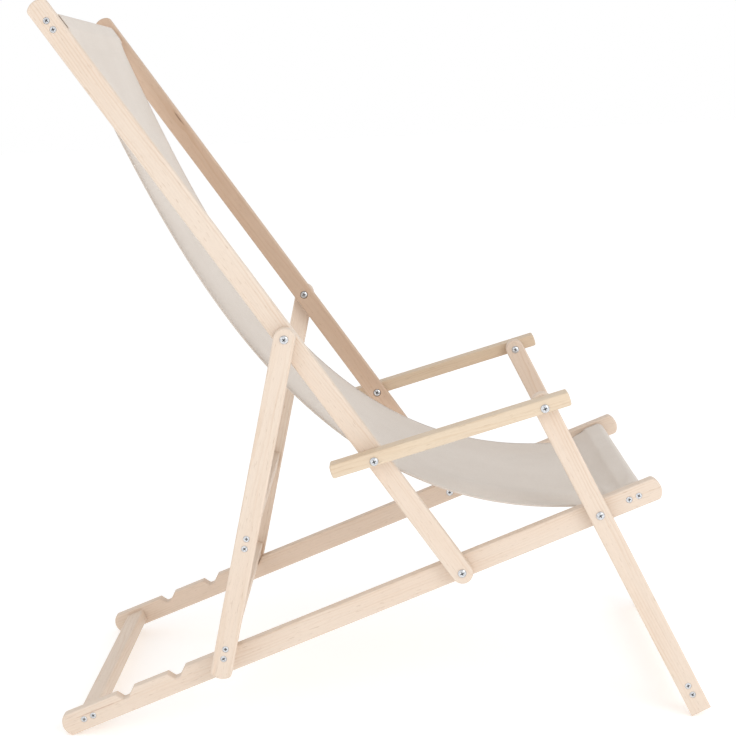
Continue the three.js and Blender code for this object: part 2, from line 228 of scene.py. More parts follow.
def built_up(tree, value, *parts):
    """The value with (mask, weight) parts added to it."""
    for mask, weight in parts:
        value = math_node(tree, "MULTIPLY_ADD", mask, weight, value)
    return value


def darker(tone, share):
    return tuple(c * share for c in tone[:3]) + (1,)


def set_bump(tree, shader, height, strength, distance):
    values = {"Strength": strength, "Distance": distance, "Height": height}
    tree.links.new(add_node(tree, "ShaderNodeBump", values).outputs[0], shader.inputs["Normal"])


def noise_at(tree, place, stretch, scale, detail=2.0, roughness=0.5):
    """Noise on a place that is squeezed along each axis first."""
    mapping = add_node(tree, "ShaderNodeMapping", {"Vector": place, "Scale": stretch})
    values = {"Vector": mapping.outputs[0], "Scale": scale, "Detail": detail, "Roughness": roughness}
    return add_node(tree, "ShaderNodeTexNoise", values).outputs[0]


def new_group(name, inputs, outputs):
    tree = bpy.data.node_groups.new(name, "ShaderNodeTree")
    for socket_name, kind in inputs:
        tree.interface.new_socket(socket_name, in_out="INPUT", socket_type=kind)
    for socket_name in outputs:
        tree.interface.new_socket(socket_name, in_out="OUTPUT", socket_type="NodeSocketFloat")
    return tree, tree.nodes.new("NodeGroupInput"), tree.nodes.new("NodeGroupOutput")


def use_group(tree, group, values):
    node = add_node(tree, "ShaderNodeGroup", node_tree=group)
    for name, value in values.items():
        if isinstance(value, bpy.types.NodeSocket):
            tree.links.new(value, node.inputs[name])
        else:
            node.inputs[name].default_value = value
    return node


FLOAT = "NodeSocketFloat"
VECTOR = "NodeSocketVector"


def make_growth_rings():
    """Growth rings round an axis along the stick, with fibres, pores and slow changes of tone."""
    inputs = [("Place", VECTOR), ("Ring Pitch", FLOAT), ("Wander", FLOAT)]
    tree, given, out = new_group("growth_rings", inputs, ["Rings", "Fibres", "Pores", "Clouds", "Flecks"])
    place = given.outputs["Place"]
    axes = add_node(tree, "ShaderNodeSeparateXYZ", {0: place}).outputs
    flat = add_node(tree, "ShaderNodeCombineXYZ", {1: axes[1], 2: axes[2]}).outputs[0]
    radius = vector_node(tree, "LENGTH", flat).outputs["Value"]
    bend = noise_at(tree, place, (0.12, 0.8, 0.8), 22.0, 2.0)
    bend = math_node(tree, "SUBTRACT", bend, 0.5)
    shake = noise_at(tree, place, (0.25, 1.0, 1.0), 110.0, 1.0)
    shake = math_node(tree, "MULTIPLY", math_node(tree, "SUBTRACT", shake, 0.5), 0.12)
    warp = math_node(tree, "MULTIPLY", math_node(tree, "ADD", bend, shake), given.outputs["Wander"])
    turns = math_node(tree, "DIVIDE", math_node(tree, "ADD", radius, warp), given.outputs["Ring Pitch"])
    part = math_node(tree, "FRACT", turns)
    rise = spread(tree, part, 0.35, 0.93)
    fall = spread(tree, part, 1.0, 0.94)
    strength = spread(tree, noise_at(tree, place, (0.15, 2.0, 2.0), 34.0, 2.0), 0.38, 0.72, 0.05, 1.0)
    rings = math_node(tree, "MULTIPLY", math_node(tree, "MULTIPLY", rise, fall), strength)
    fibres = spread(tree, noise_at(tree, place, (0.02, 1.0, 1.0), 420.0, 3.0, 0.6), 0.3, 0.72)
    pores = spread(tree, noise_at(tree, place, (0.05, 1.0, 1.0), 1900.0, 2.0, 0.6), 0.55, 0.75)
    clouds = spread(tree, noise_at(tree, place, (0.18, 1.0, 1.0), 24.0, 2.0), 0.3, 0.7)
    flecks = spread(tree, noise_at(tree, place, (0.12, 1.0, 1.0), 640.0, 1.0, 0.4), 0.69, 0.76)
    for name, socket in zip(("Rings", "Fibres", "Pores", "Clouds", "Flecks"),
                            (rings, fibres, pores, clouds, flecks)):
        tree.links.new(socket, out.inputs[name])
    return tree


def make_rubbed_edges():
    """How near a point of a stick is to a long edge, broken up so the rubbing isn't even."""
    inputs = [("Section", VECTOR), ("Place", VECTOR)]
    tree, given, out = new_group("rubbed_edges", inputs, ["Rubbed", "Handled"])
    axes = add_node(tree, "ShaderNodeSeparateXYZ", {0: given.outputs["Section"]}).outputs
    across = spread(tree, math_node(tree, "ABSOLUTE", axes[0]), 0.78, 0.98)
    through = spread(tree, math_node(tree, "ABSOLUTE", axes[1]), 0.74, 0.98)
    edge = math_node(tree, "MULTIPLY", across, through)
    broken = spread(tree, noise_at(tree, given.outputs["Place"], (0.3, 1, 1), 130.0, 3.0, 0.6), 0.35, 0.65)
    tree.links.new(math_node(tree, "MULTIPLY", edge, broken), out.inputs["Rubbed"])
    handled = spread(tree, noise_at(tree, given.outputs["Place"], (0.4, 1, 1), 38.0, 2.0), 0.45, 0.75)
    tree.links.new(handled, out.inputs["Handled"])
    return tree


def make_spot():
    """A soft oval patch round one place, drawn out along the stick."""
    inputs = [("Place", VECTOR), ("Centre", VECTOR), ("Shrink", VECTOR), ("Ragged", FLOAT)]
    tree, given, out = new_group("grain_spot", inputs, ["Core", "Halo"])
    place = given.outputs["Place"]
    offset = vector_node(tree, "SUBTRACT", place, given.outputs["Centre"]).outputs[0]
    shrunk = vector_node(tree, "MULTIPLY", offset, given.outputs["Shrink"]).outputs[0]
    reach = vector_node(tree, "LENGTH", shrunk).outputs["Value"]
    ragged = math_node(tree, "SUBTRACT", noise_at(tree, place, (0.35, 1, 1), 420.0, 2.0), 0.5)
    reach = math_node(tree, "ADD", reach, math_node(tree, "MULTIPLY", ragged, given.outputs["Ragged"]))
    tree.links.new(spread(tree, reach, 1.0, 0.45), out.inputs["Core"])
    tree.links.new(spread(tree, reach, 2.4, 0.8), out.inputs["Halo"])
    return tree


def make_plain_weave():
    """Threads over and under, with slubs along both directions and slow changes across the cloth."""
    tree, given, out = new_group("plain_weave", [("Cloth", VECTOR), ("Pitch", FLOAT)],
                                 ["Threads", "Slubs", "Mottle", "Creases"])
    cloth = given.outputs["Cloth"]
    wander = noise_at(tree, cloth, (1, 1, 1), 60.0, 1.0)
    wander = math_node(tree, "MULTIPLY", math_node(tree, "SUBTRACT", wander, 0.5), 0.0012)
    axes = add_node(tree, "ShaderNodeSeparateXYZ", {0: cloth}).outputs
    waves = []
    for axis in (0, 1):
        along = math_node(tree, "ADD", axes[axis], wander)
        turns = math_node(tree, "DIVIDE", along, given.outputs["Pitch"])
        waves.append(math_node(tree, "SINE", math_node(tree, "MULTIPLY", turns, math.tau)))
    weave = math_node(tree, "MULTIPLY", waves[0], waves[1])
    threads = math_node(tree, "MULTIPLY_ADD", weave, 0.5, 0.5)
    warp_slubs = spread(tree, noise_at(tree, cloth, (0.03, 1, 1), 900.0, 2.0, 0.6), 0.35, 0.75)
    weft_slubs = spread(tree, noise_at(tree, cloth, (1, 0.03, 1), 900.0, 2.0, 0.6), 0.35, 0.75)
    slubs = math_node(tree, "MULTIPLY", math_node(tree, "ADD", warp_slubs, weft_slubs), 0.5)
    mottle = spread(tree, noise_at(tree, cloth, (1, 1, 1), 9.0, 3.0, 0.55), 0.3, 0.7)
    creases = noise_at(tree, cloth, (0.6, 1.0, 1.0), 16.0, 3.0, 0.5)
    for name, socket in zip(("Threads", "Slubs", "Mottle", "Creases"), (threads, slubs, mottle, creases)):
        tree.links.new(socket, out.inputs[name])
    return tree


def make_handling():
    """Fine scratches and finger haze on metal."""
    tree, given, out = new_group("handling", [("Place", VECTOR)], ["Haze", "Scratches", "Spangle"])
    place = given.outputs["Place"]
    haze = noise_at(tree, place, (1, 1, 1), 420.0, 3.0)
    tree.links.new(spread(tree, haze, 0.35, 0.7), out.inputs["Haze"])
    scratches = noise_at(tree, place, (1, 0.1, 1), 3800.0, 2.0, 0.7)
    tree.links.new(spread(tree, scratches, 0.55, 0.8), out.inputs["Scratches"])
    spangle = add_node(tree, "ShaderNodeTexVoronoi", {"Vector": place, "Scale": 900.0}).outputs["Distance"]
    tree.links.new(spangle, out.inputs["Spangle"])
    return tree


GROWTH_RINGS = make_growth_rings()
RUBBED_EDGES = make_rubbed_edges()
GRAIN_SPOT = make_spot()
PLAIN_WEAVE = make_plain_weave()
HANDLING = make_handling()


RING_PITCH = 0.0041
RING_DEPTH = 0.30
RING_WANDER = 0.022
ARM_RING_PITCH = 0.0029
ARM_RING_DEPTH = 0.42


def new_material(name):
    material = bpy.data.materials.new(name)
    material.use_nodes = True
    tree = material.node_tree
    shader = next(n for n in tree.nodes if n.type == "BSDF_PRINCIPLED")
    return material, tree, shader


def planed_wood(name, pale, ring_tone, blush, ring_pitch=RING_PITCH, ring_depth=RING_DEPTH, spots=()):
    """Planed, unvarnished wood. spots are (centre, shrink, ragged, core colour, strength)."""
    material, tree, shader = new_material(name)
    place = add_node(tree, "ShaderNodeAttribute", attribute_name="grain").outputs["Vector"]
    section = add_node(tree, "ShaderNodeAttribute", attribute_name="section").outputs["Vector"]
    tone = add_node(tree, "ShaderNodeAttribute", attribute_name="tone").outputs["Fac"]
    values = {"Place": place, "Ring Pitch": ring_pitch, "Wander": RING_WANDER}
    grain = use_group(tree, GROWTH_RINGS, values).outputs
    wear = use_group(tree, RUBBED_EDGES, {"Section": section, "Place": place}).outputs
    pore_tone = darker(ring_tone, 0.62)
    colour = layered(tree, pale, (grain["Clouds"], 0.45, blush), (grain["Rings"], ring_depth, ring_tone),
                     (grain["Fibres"], 0.22, darker(pale, 0.84)), (grain["Pores"], 0.22, pore_tone),
                     (grain["Flecks"], 0.30, pore_tone))
    for centre, shrink, ragged, core, strength in spots:
        values = {"Place": place, "Centre": centre, "Shrink": shrink, "Ragged": ragged}
        spot = use_group(tree, GRAIN_SPOT, values).outputs
        colour = layered(tree, colour, (spot["Halo"], 0.30 * strength, ring_tone),
                         (spot["Core"], strength, core))
    rubbed_tone = tuple(min(1.0, c * 1.08) for c in pale[:3]) + (1,)
    colour = layered(tree, colour, (wear["Rubbed"], 0.55, rubbed_tone))
    # The tone darkens the whole piece: on the left (far) sticks this is partly darker wood and partly
    # painted shade
    deeper = mixed(tree, 1.0, colour, ring_tone, blend="MULTIPLY")
    colour = mixed(tree, tone, colour, deeper)
    tree.links.new(colour, shader.inputs["Base Color"])
    rough = built_up(tree, 0.50, (grain["Pores"], 0.12), (grain["Fibres"], 0.06), (wear["Rubbed"], -0.10),
                     (wear["Handled"], -0.06))
    tree.links.new(rough, shader.inputs["Roughness"])
    height = built_up(tree, 1.0, (grain["Fibres"], -0.35), (grain["Pores"], -0.9), (grain["Rings"], 0.35))
    set_bump(tree, shader, height, 0.35, 0.00012)
    return material


def zinc_plate(name, bright, dull, base_roughness):
    material, tree, shader = new_material(name)
    place = add_node(tree, "ShaderNodeTexCoord").outputs["Object"]
    marks = use_group(tree, HANDLING, {"Place": place}).outputs
    colour = layered(tree, bright, (marks["Haze"], 0.6, dull), (marks["Scratches"], 0.3, dull))
    tree.links.new(colour, shader.inputs["Base Color"])
    shader.inputs["Metallic"].default_value = 1
    rough = built_up(tree, base_roughness, (marks["Haze"], 0.10), (marks["Scratches"], 0.10))
    tree.links.new(rough, shader.inputs["Roughness"])
    set_bump(tree, shader, built_up(tree, marks["Spangle"], (marks["Scratches"], -0.6)), 0.10, 0.00005)
    return material


def canvas_cloth(name, pale, shade, pitch):
    material, tree, shader = new_material(name)
    cloth = add_node(tree, "ShaderNodeUVMap", uv_map="cloth").outputs[0]
    weave = use_group(tree, PLAIN_WEAVE, {"Cloth": cloth, "Pitch": pitch}).outputs
    gap = math_node(tree, "SUBTRACT", 1.0, weave["Threads"])
    colour = layered(tree, pale, (weave["Mottle"], 0.30, shade), (weave["Slubs"], 0.35, shade),
                     (gap, 0.22, darker(shade, 0.80)))
    tree.links.new(colour, shader.inputs["Base Color"])
    tree.links.new(built_up(tree, 0.84, (weave["Slubs"], 0.08)), shader.inputs["Roughness"])
    shader.inputs["Sheen Weight"].default_value = 0.18
    shader.inputs["Sheen Roughness"].default_value = 0.45
    shader.inputs["Specular IOR Level"].default_value = 0.25
    height = built_up(tree, weave["Threads"], (weave["Slubs"], 0.6), (weave["Creases"], 6.0))
    set_bump(tree, shader, height, 0.45, 0.00022)
    return material


def sewing_thread(name, tone, shade):
    material, tree, shader = new_material(name)
    place = add_node(tree, "ShaderNodeTexCoord").outputs["Object"]
    twist = noise_at(tree, place, (1, 6, 1), 700.0, 1.0)
    tree.links.new(mixed(tree, twist, tone, shade), shader.inputs["Base Color"])
    tree.links.new(math_node(tree, "MULTIPLY_ADD", twist, 0.2, 0.6), shader.inputs["Roughness"])
    set_bump(tree, shader, twist, 0.3, 0.0001)
    return material


PALE = srgb(227, 211, 195)
RING_TONE = srgb(196, 158, 118)
BLUSH = srgb(224, 202, 182)
ARM_PALE = srgb(222, 204, 180)
ARM_RING = srgb(192, 156, 116)
ARM_BLUSH = srgb(218, 194, 166)
KNOT_CORE = srgb(92, 58, 34)
STREAK_CORE = srgb(150, 92, 62)


# Wood pieces

def made_points(made):
    return [v for v in made if isinstance(v, bmesh.types.BMVert)]


def open_edges(made):
    """The new edges that only one face meets yet."""
    return [e for e in made if isinstance(e, bmesh.types.BMEdge) and len(e.link_faces) == 1]


def arc_from(bm, vertex, centre, sweep, steps):
    """Spins a vertex round a centre into a chain of edges; gives the chain's last vertex."""
    spun = bmesh.ops.spin(bm, geom=[vertex], cent=(centre[0], centre[1], 0), axis=(0, 0, 1), dvec=(0, 0, 0),
                          angle=sweep, steps=steps, use_duplicate=False)
    return made_points(spun["geom_last"])[0]


def end_points(bm, tip, lift, half, radius, corner, outward):
    """One end of an outline, drawn anticlockwise: half round, shallow with soft corners, or square."""
    if radius == 0:
        corners = [bm.verts.new((tip, lift + way * outward * half, 0)) for way in (-1, 1)]
        bm.edges.new(corners)
        return corners
    middle_x = tip - outward * radius
    if radius <= half:
        first = bm.verts.new((middle_x, lift - outward * half, 0))
        return first, arc_from(bm, first, (middle_x, lift), math.pi, 2 * END_STEPS)
    turn = math.asin((half - corner) / (radius - corner))
    corner_x = middle_x + outward * (radius - corner) * math.cos(turn)
    first = bm.verts.new((corner_x, lift - outward * half, 0))
    inset = outward * (half - corner)
    corner_turn = math.pi / 2 - turn
    last = arc_from(bm, first, (corner_x, lift - inset), corner_turn, CORNER_STEPS)
    last = arc_from(bm, last, (middle_x, lift), 2 * turn, END_STEPS)
    last = arc_from(bm, last, (corner_x, lift + inset), corner_turn, CORNER_STEPS)
    return first, last


def notch_points(bm, rear_lip, top):
    rear_run = NOTCH_DEPTH / math.tan(NOTCH_REAR_ANGLE)
    front_run = NOTCH_DEPTH / math.tan(NOTCH_FRONT_ANGLE)
    front_lip = rear_lip + NOTCH_MOUTH
    places = [(front_lip, top), (front_lip - front_run, top - NOTCH_DEPTH),
              (rear_lip + rear_run, top - NOTCH_DEPTH), (rear_lip, top)]
    points = [bm.verts.new((x, y, 0)) for x, y in places]
    for a, b in zip(points, points[1:]):
        bm.edges.new((a, b))
    return points[0], points[-1]


def stick_blank(rear, front, width, thickness, rear_radius, front_radius, lift=0, corner=SHALLOW_CORNER,
                notches=(), screws_at=(), pockets_at=()):
    """A flat stick on its side: x along it, y across, z out through its outer face."""
    bm = bmesh.new()
    half = width / 2
    stretches = [end_points(bm, front, lift, half, front_radius, corner, 1)]
    stretches += [notch_points(bm, rear_lip, lift + half) for rear_lip in notches]
    stretches.append(end_points(bm, rear, lift, half, rear_radius, corner, -1))
    for here, after in zip(stretches, stretches[1:] + stretches[:1]):
        bm.edges.new((here[1], after[0]))
    rim = list(bm.edges)
    if notches:
        bm.verts.ensure_lookup_table()
        inner = [v for v in bm.verts if abs(v.co.y - (lift + half - NOTCH_DEPTH)) < 1e-6]
        bmesh.ops.bevel(bm, geom=inner, offset=NOTCH_CORNER, segments=3, profile=0.5, affect="VERTICES",
                        material=-1)
        rim = list(bm.edges)
    rings = hole_rims(bm, screws_at, SCREW_HEAD + HEAD_CLEARANCE)
    bmesh.ops.triangle_fill(bm, use_beauty=True, use_dissolve=True, edges=rim + rings, normal=(0, 0, 1))
    bmesh.ops.translate(bm, verts=bm.verts, vec=(0, 0, thickness / 2))
    countersink(bm, rings)
    walls = bmesh.ops.extrude_edge_only(bm, edges=rim)["geom"]
    bmesh.ops.translate(bm, verts=made_points(walls), vec=(0, 0, -thickness))
    low_rim = open_edges(walls)
    pocket_rims = hole_rims(bm, pockets_at, BOLT_HEAD + HEAD_CLEARANCE, -thickness / 2)
    bmesh.ops.triangle_fill(bm, use_beauty=True, use_dissolve=True, edges=low_rim + pocket_rims,
                            normal=(0, 0, -1))
    if pocket_rims:
        made = bmesh.ops.extrude_edge_only(bm, edges=pocket_rims)["geom"]
        bmesh.ops.translate(bm, verts=made_points(made), vec=(0, 0, HEAD_POCKET))
        bmesh.ops.edgeloop_fill(bm, edges=open_edges(made))
    bmesh.ops.recalc_face_normals(bm, faces=bm.faces)
    bmesh.ops.bevel(bm, geom=rim + low_rim, offset=STICK_EASE, segments=EASE_STEPS, profile=0.5,
                    affect="EDGES", clamp_overlap=True, material=-1)
    return bm


def hole_rims(bm, places, radius, height=0):
    """A ring of edges round each place along the stick, where the face is left open."""
    before = set(bm.edges)
    for x in places:
        bmesh.ops.create_circle(bm, segments=HEAD_SEGMENTS, radius=radius,
                                matrix=Matrix.Translation((x, 0, height)))
    return [e for e in bm.edges if e not in before]


def countersink(bm, rings):
    """The screws' seats: a short straight rim, a cone and a flat floor."""
    if not rings:
        return
    for depth, scale in ((SEAT_RIM, 1.0), (SEAT_DEPTH, SEAT_FLOOR_SHARE)):
        made = bmesh.ops.extrude_edge_only(bm, edges=rings)["geom"]
        verts = made_points(made)
        face_height = max(v.co.z for v in verts)
        for island in grouped(verts):
            centre = sum((v.co for v in island), Vector()) / len(island)
            for v in island:
                v.co.x = centre.x + (v.co.x - centre.x) * scale
                v.co.y = centre.y + (v.co.y - centre.y) * scale
                v.co.z = face_height - depth if scale == 1 else face_height - depth + SEAT_RIM
        rings = open_edges(made)
    bmesh.ops.edgeloop_fill(bm, edges=rings)


def grouped(verts):
    """Vertices sorted into the rings that they belong to, by their neighbours."""
    left = set(verts)
    islands = []
    while left:
        seed = left.pop()
        island = [seed]
        for v in island:
            for edge in v.link_edges:
                other = edge.other_vert(v)
                if other in left:
                    left.discard(other)
                    island.append(other)
        islands.append(island)
    return islands


def cross_bar(length):
    """A bar with its long edges rounded: x along it, y across its width, z through it."""
    bm = bmesh.new()
    bmesh.ops.create_cube(bm, size=1)
    bmesh.ops.scale(bm, vec=(length, BAR_WIDTH, BAR_THICKNESS), verts=bm.verts)
    long_edges = [e for e in bm.edges if abs(e.verts[0].co.x - e.verts[1].co.x) > length / 2]
    bmesh.ops.bevel(bm, geom=long_edges, offset=BAR_ROUNDING, segments=6, profile=0.5, affect="EDGES",
                    material=-1)
    ends = [e for e in bm.edges if abs(e.verts[0].co.x - e.verts[1].co.x) < 1e-6]
    bmesh.ops.bevel(bm, geom=ends, offset=BAR_END_EASE, segments=2, profile=0.5, affect="EDGES",
                    clamp_overlap=True, material=-1)
    return bm


def mark_grain(bm, half_width, half_thickness, lift, heart, tone):
    """Stores each point's place in the log, its place in the section, and the piece's tone: the wood's own
    colour, deepened on the left (far) sticks partly by darker wood and partly as painted shade.
    """
    grain = bm.verts.layers.float_vector.new("grain")
    section = bm.verts.layers.float_vector.new("section")
    shade = bm.verts.layers.float.new("tone")
    heart = Vector(heart)
    for v in bm.verts:
        v[grain] = v.co + heart
        v[section] = Vector(((v.co.y - lift) / half_width, v.co.z / half_thickness, 0))
        v[shade] = tone


def mesh_object(name, bm, materials):
    """The finished mesh as an object at the origin."""
    mesh = bpy.data.meshes.new(name)
    bm.to_mesh(mesh)
    bm.free()
    for material in materials:
        mesh.materials.append(material)
    thing = bpy.data.objects.new(name, mesh)
    bpy.context.scene.collection.objects.link(thing)
    return thing


def finish_piece(name, bm, matrix, materials, body, replaced, sharp=40):
    bmesh.ops.transform(bm, matrix=matrix, verts=bm.verts)
    if matrix.determinant() < 0:
        bmesh.ops.recalc_face_normals(bm, faces=bm.faces)
    piece = mesh_object(name, bm, materials)
    piece.data.shade_smooth()
    piece.data.set_sharp_from_angle(angle=math.radians(sharp))
    even = piece.modifiers.new("even_normals", "WEIGHTED_NORMAL")
    even.keep_sharp = True
    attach(piece, body)
    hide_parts(*replaced)
    return piece


def side_frame(place, angle, y, outward):
    """Puts a flat stick at its place: its length along the angle, its outer face to -Y or +Y."""
    along = heading(angle)
    through = Vector((0, outward, 0))
    across = Vector((-math.sin(angle), 0, math.cos(angle)))
    matrix = Matrix((along, across, through)).transposed().to_4x4()
    matrix.translation = Vector((place.x, y, place.z))
    return matrix


def screw_places(node, origin, angle):
    """How far along a stick each screw of a pair is."""
    names = [f"{node}_lower_right", f"{node}_upper_right"]
    return [(in_side_view(middle(n)) - origin).dot(heading(angle)) for n in names]


WOOD = planed_wood("pale_beech", PALE, RING_TONE, BLUSH)
ARM_WOOD = planed_wood("armrest_beech", ARM_PALE, ARM_RING, ARM_BLUSH, ARM_RING_PITCH, ARM_RING_DEPTH)

# Each stick's own place in the log (metres from the heart) and its tone, 0 pale to 1 deep; the deeper tones
# of the left (far) sticks are partly darker wood and partly painted shade
HEARTS = {
    "seat_rail_right": ((0.3, 0.034, 0.019), 0.03), "seat_rail_left": ((1.7, -0.052, 0.024), 0.16),
    "back_rail_right": ((2.9, 0.061, -0.033), 0.00), "back_rail_left": ((4.1, 0.027, 0.043), 0.50),
    "front_leg_right": ((5.3, -0.071, 0.029), 0.02), "front_leg_left": ((6.2, 0.049, -0.051), 0.14),
    "prop_leg_right": ((7.4, 0.038, 0.066), 0.00), "prop_leg_left": ((8.6, -0.036, 0.031), 0.10),
    "armrest_right": ((9.5, 0.024, 0.021), 0.02), "armrest_left": ((10.3, -0.031, 0.026), 0.20),
    "seat_front_bar": ((11.2, 0.045, 0.03), 0.05), "seat_rear_bar": ((12.1, 0.03, -0.05), 0.05),
    "back_top_bar": ((13.3, -0.04, 0.04), 0.05), "front_leg_bar": ((14.4, 0.06, 0.02), 0.05),
    "prop_upper_bar": ((15.2, -0.05, 0.03), 0.05), "prop_lower_bar": ((16.1, 0.035, 0.045), 0.05),
}


def stick_spots(name):
    """Dark marks in the grain of two sticks: a drawn-out knot and a fine red line."""
    heart = Vector(HEARTS[name][0]) if name in HEARTS else Vector()
    if name == "back_rail_left":
        knot = heart + Vector((0.800, -0.0095, -STICK_THICKNESS / 2))
        return [(knot, (62, 700, 260), 0.9, KNOT_CORE, 0.62)]
    if name == "seat_rail_right":
        line = heart + Vector((-0.800, 0.006, STICK_THICKNESS / 2))
        return [(line, (22, 1300, 900), 0.9, STREAK_CORE, 0.45)]
    return []


def wood_for(name):
    """The plain wood, or its own where the stick has marks in its grain."""
    spots = stick_spots(name)
    if not spots:
        return WOOD
    return planed_wood(f"{WOOD.name}_{name}", PALE, RING_TONE, BLUSH, spots=spots)


def add_stick(name, side, place, angle, layer, body, screws=(), width=STICK_WIDTH, lift=0, arm=False,
              **shape):
    """One stick of one side of the frame, turned from its pivot."""
    outward = SIDES[side]
    thickness = ARMREST_WIDTH if arm else STICK_THICKNESS
    screws_at = [x for pair in screws for x in screw_places(pair, place, angle)]
    bm = stick_blank(width=width, thickness=thickness, lift=lift, screws_at=screws_at, **shape)
    piece = f"{name}_{side}"
    heart, tone = HEARTS[piece]
    mark_grain(bm, width / 2, thickness / 2, lift, heart, tone)
    material = ARM_WOOD if arm else wood_for(piece)
    matrix = side_frame(place, angle, outward * (layer + thickness / 2), outward)
    return finish_piece(f"{piece}_wood", bm, matrix, [material], body, [piece])


def add_bar(name, angle, half_span, body):
    bm = cross_bar(2 * (half_span - FIT_GAP))
    heart, tone = HEARTS[name]
    mark_grain(bm, BAR_WIDTH / 2, BAR_THICKNESS / 2, 0, heart, tone)
    across = heading(angle)
    along = Vector((0, 1, 0))
    matrix = Matrix((along, across, along.cross(across))).transposed().to_4x4()
    matrix.translation = in_side_view(middle(name))
    return finish_piece(f"{name}_wood", bm, matrix, [WOOD], body, [name])


POCKETS = [(pivot - BACK_PIVOT).length for pivot in (ARM_REAR, PROP_PIVOT)]
NOTCHES = [-FIRST_NOTCH_REAR - i * NOTCH_PITCH for i in range(NOTCH_COUNT)]

for side in SIDES:
    add_stick("seat_rail", side, LEG_PIVOT, SEAT_ANGLE, SEAT_LAYER, "seat_frame",
              screws=["seat_front_screw", "seat_rear_screw"], width=SEAT_RAIL_WIDTH,
              rear=-SEAT_RAIL_REAR, front=SEAT_RAIL_FRONT, rear_radius=SHALLOW_END,
              front_radius=SHALLOW_END, notches=NOTCHES)
    add_stick("back_rail", side, BACK_PIVOT, BACK_ANGLE, BACK_LAYER, "back_frame",
              screws=["back_top_screw"], pockets_at=POCKETS,
              rear=-PIVOT_END, front=BACK_RAIL_LENGTH, rear_radius=STICK_WIDTH / 2, front_radius=SHALLOW_END)
    add_stick("front_leg", side, LEG_PIVOT, LEG_ANGLE, BACK_LAYER, "leg_frame",
              screws=["front_leg_screw"], rear=-(ARM_FRONT - LEG_PIVOT).length - PIVOT_END,
              front=FRONT_LEG_LOWER, rear_radius=STICK_WIDTH / 2, front_radius=0)
    add_stick("prop_leg", side, PROP_PIVOT, PROP_ANGLE, OUTER_LAYER, "prop_frame",
              screws=["prop_upper_screw", "prop_lower_screw"], rear=-PIVOT_END, front=PROP_LEG_LENGTH,
              rear_radius=STICK_WIDTH / 2, front_radius=SHALLOW_END)
    add_stick("armrest", side, ARM_REAR, ARM_ANGLE, OUTER_LAYER, f"armrest_{side}_body", arm=True,
              width=ARMREST_THICKNESS, lift=ARMREST_LIFT, rear=-ARMREST_REAR_TAIL,
              front=(ARM_FRONT - ARM_REAR).length + ARMREST_FRONT_TAIL, rear_radius=ARMREST_END,
              front_radius=ARMREST_END, corner=ARMREST_CORNER)

for bar in ("seat_front_bar", "seat_rear_bar"):
    add_bar(bar, SEAT_ANGLE, SEAT_LAYER, "seat_frame")
add_bar("back_top_bar", BACK_ANGLE, BACK_LAYER, "back_frame")
add_bar("front_leg_bar", LEG_ANGLE, BACK_LAYER, "leg_frame")
for bar in ("prop_upper_bar", "prop_lower_bar"):
    add_bar(bar, PROP_ANGLE, OUTER_LAYER, "prop_frame")


# Screws, bolts and sleeve nuts

ZINC = zinc_plate("bright_zinc", srgb(222, 224, 227), srgb(158, 161, 166), 0.20)
# A far darker second zinc, painted shade for the inside of the cross recesses
RECESS_PAINTED_SHADE = zinc_plate("recess_painted_shade_zinc", srgb(112, 112, 114), srgb(62, 61, 62), 0.42)


def ring_below(bm, edges, radius, height):
    """The next ring of a turned piece, extruded from the last one."""
    made = bmesh.ops.extrude_edge_only(bm, edges=edges)["geom"]
    for v in made_points(made):
        flat = Vector((v.co.x, v.co.y, 0)).normalized() * radius
        v.co = Vector((flat.x, flat.y, height))
    return open_edges(made)


def driven_head(crown_radius, crown_height, rings, arm, half_arm, recess):
    """A head with a cross recess, its face up; rings are (radius, height) down to the piece's end."""
    bm = bmesh.new()
    bmesh.ops.create_circle(bm, segments=HEAD_SEGMENTS, radius=crown_radius)
    outer = list(bm.edges)
    cross = []
    for quarter in range(4):
        turn = Matrix.Rotation(quarter * math.pi / 2, 3, "Z")
        cross += [bm.verts.new(turn @ Vector(p)) for p in
                  ((arm, -half_arm, 0), (arm, half_arm, 0), (half_arm, half_arm, 0))]
    inner = [bm.edges.new((a, b)) for a, b in zip(cross, cross[1:] + cross[:1])]
    bmesh.ops.triangle_fill(bm, use_beauty=True, use_dissolve=False, edges=outer + inner, normal=(0, 0, 1))
    bmesh.ops.translate(bm, verts=bm.verts, vec=(0, 0, crown_height))
    sunk = bmesh.ops.extrude_edge_only(bm, edges=inner)["geom"]
    deep = made_points(sunk)
    for v in deep:
        v.co = Vector((v.co.x * 0.6, v.co.y * 0.6, crown_height - recess))
    bmesh.ops.contextual_create(bm, geom=open_edges(sunk))
    # The faces down in the cross recess take the darker zinc: painted shade in the recess
    sunk_points = set(deep)
    for face in bm.faces:
        if sunk_points.intersection(face.verts):
            face.material_index = 1
    edges = outer
    for radius, height in rings:
        edges = ring_below(bm, edges, radius, height)
    bmesh.ops.contextual_create(bm, geom=edges)
    bmesh.ops.recalc_face_normals(bm, faces=bm.faces)
    return bm


def head_frame(place, y, outward, turn):
    """Stands a turned piece across the chair, its head outwards, with the recess turned."""
    up = Vector((0, outward, 0))
    side = heading(turn)
    matrix = Matrix((side, up.cross(side), up)).transposed().to_4x4()
    matrix.translation = Vector((place.x, y, place.z))
    return matrix


def screw_mesh():
    rings = [(SCREW_HEAD - 0.0002, -0.00002), (SCREW_HEAD, -0.0002), (SCREW_HEAD, -0.0005),
             (SCREW_SHANK, -0.0028), (SCREW_SHANK, -0.041), (0.0002, -SCREW_LENGTH)]
    return driven_head(0.0036, 0.00008, rings, 0.0024, 0.00062, 0.0022)


HEAD_FOOT = 0.0001
DOME = [(0.0047, 0.00235), (0.0057, 0.00175), (0.00625, 0.0011), (BOLT_HEAD, 0.0004), (0.0063, HEAD_FOOT)]


def bolt_mesh(end_rings):
    return driven_head(0.0036, 0.0027, DOME + end_rings, 0.0027, 0.0007, 0.0022)


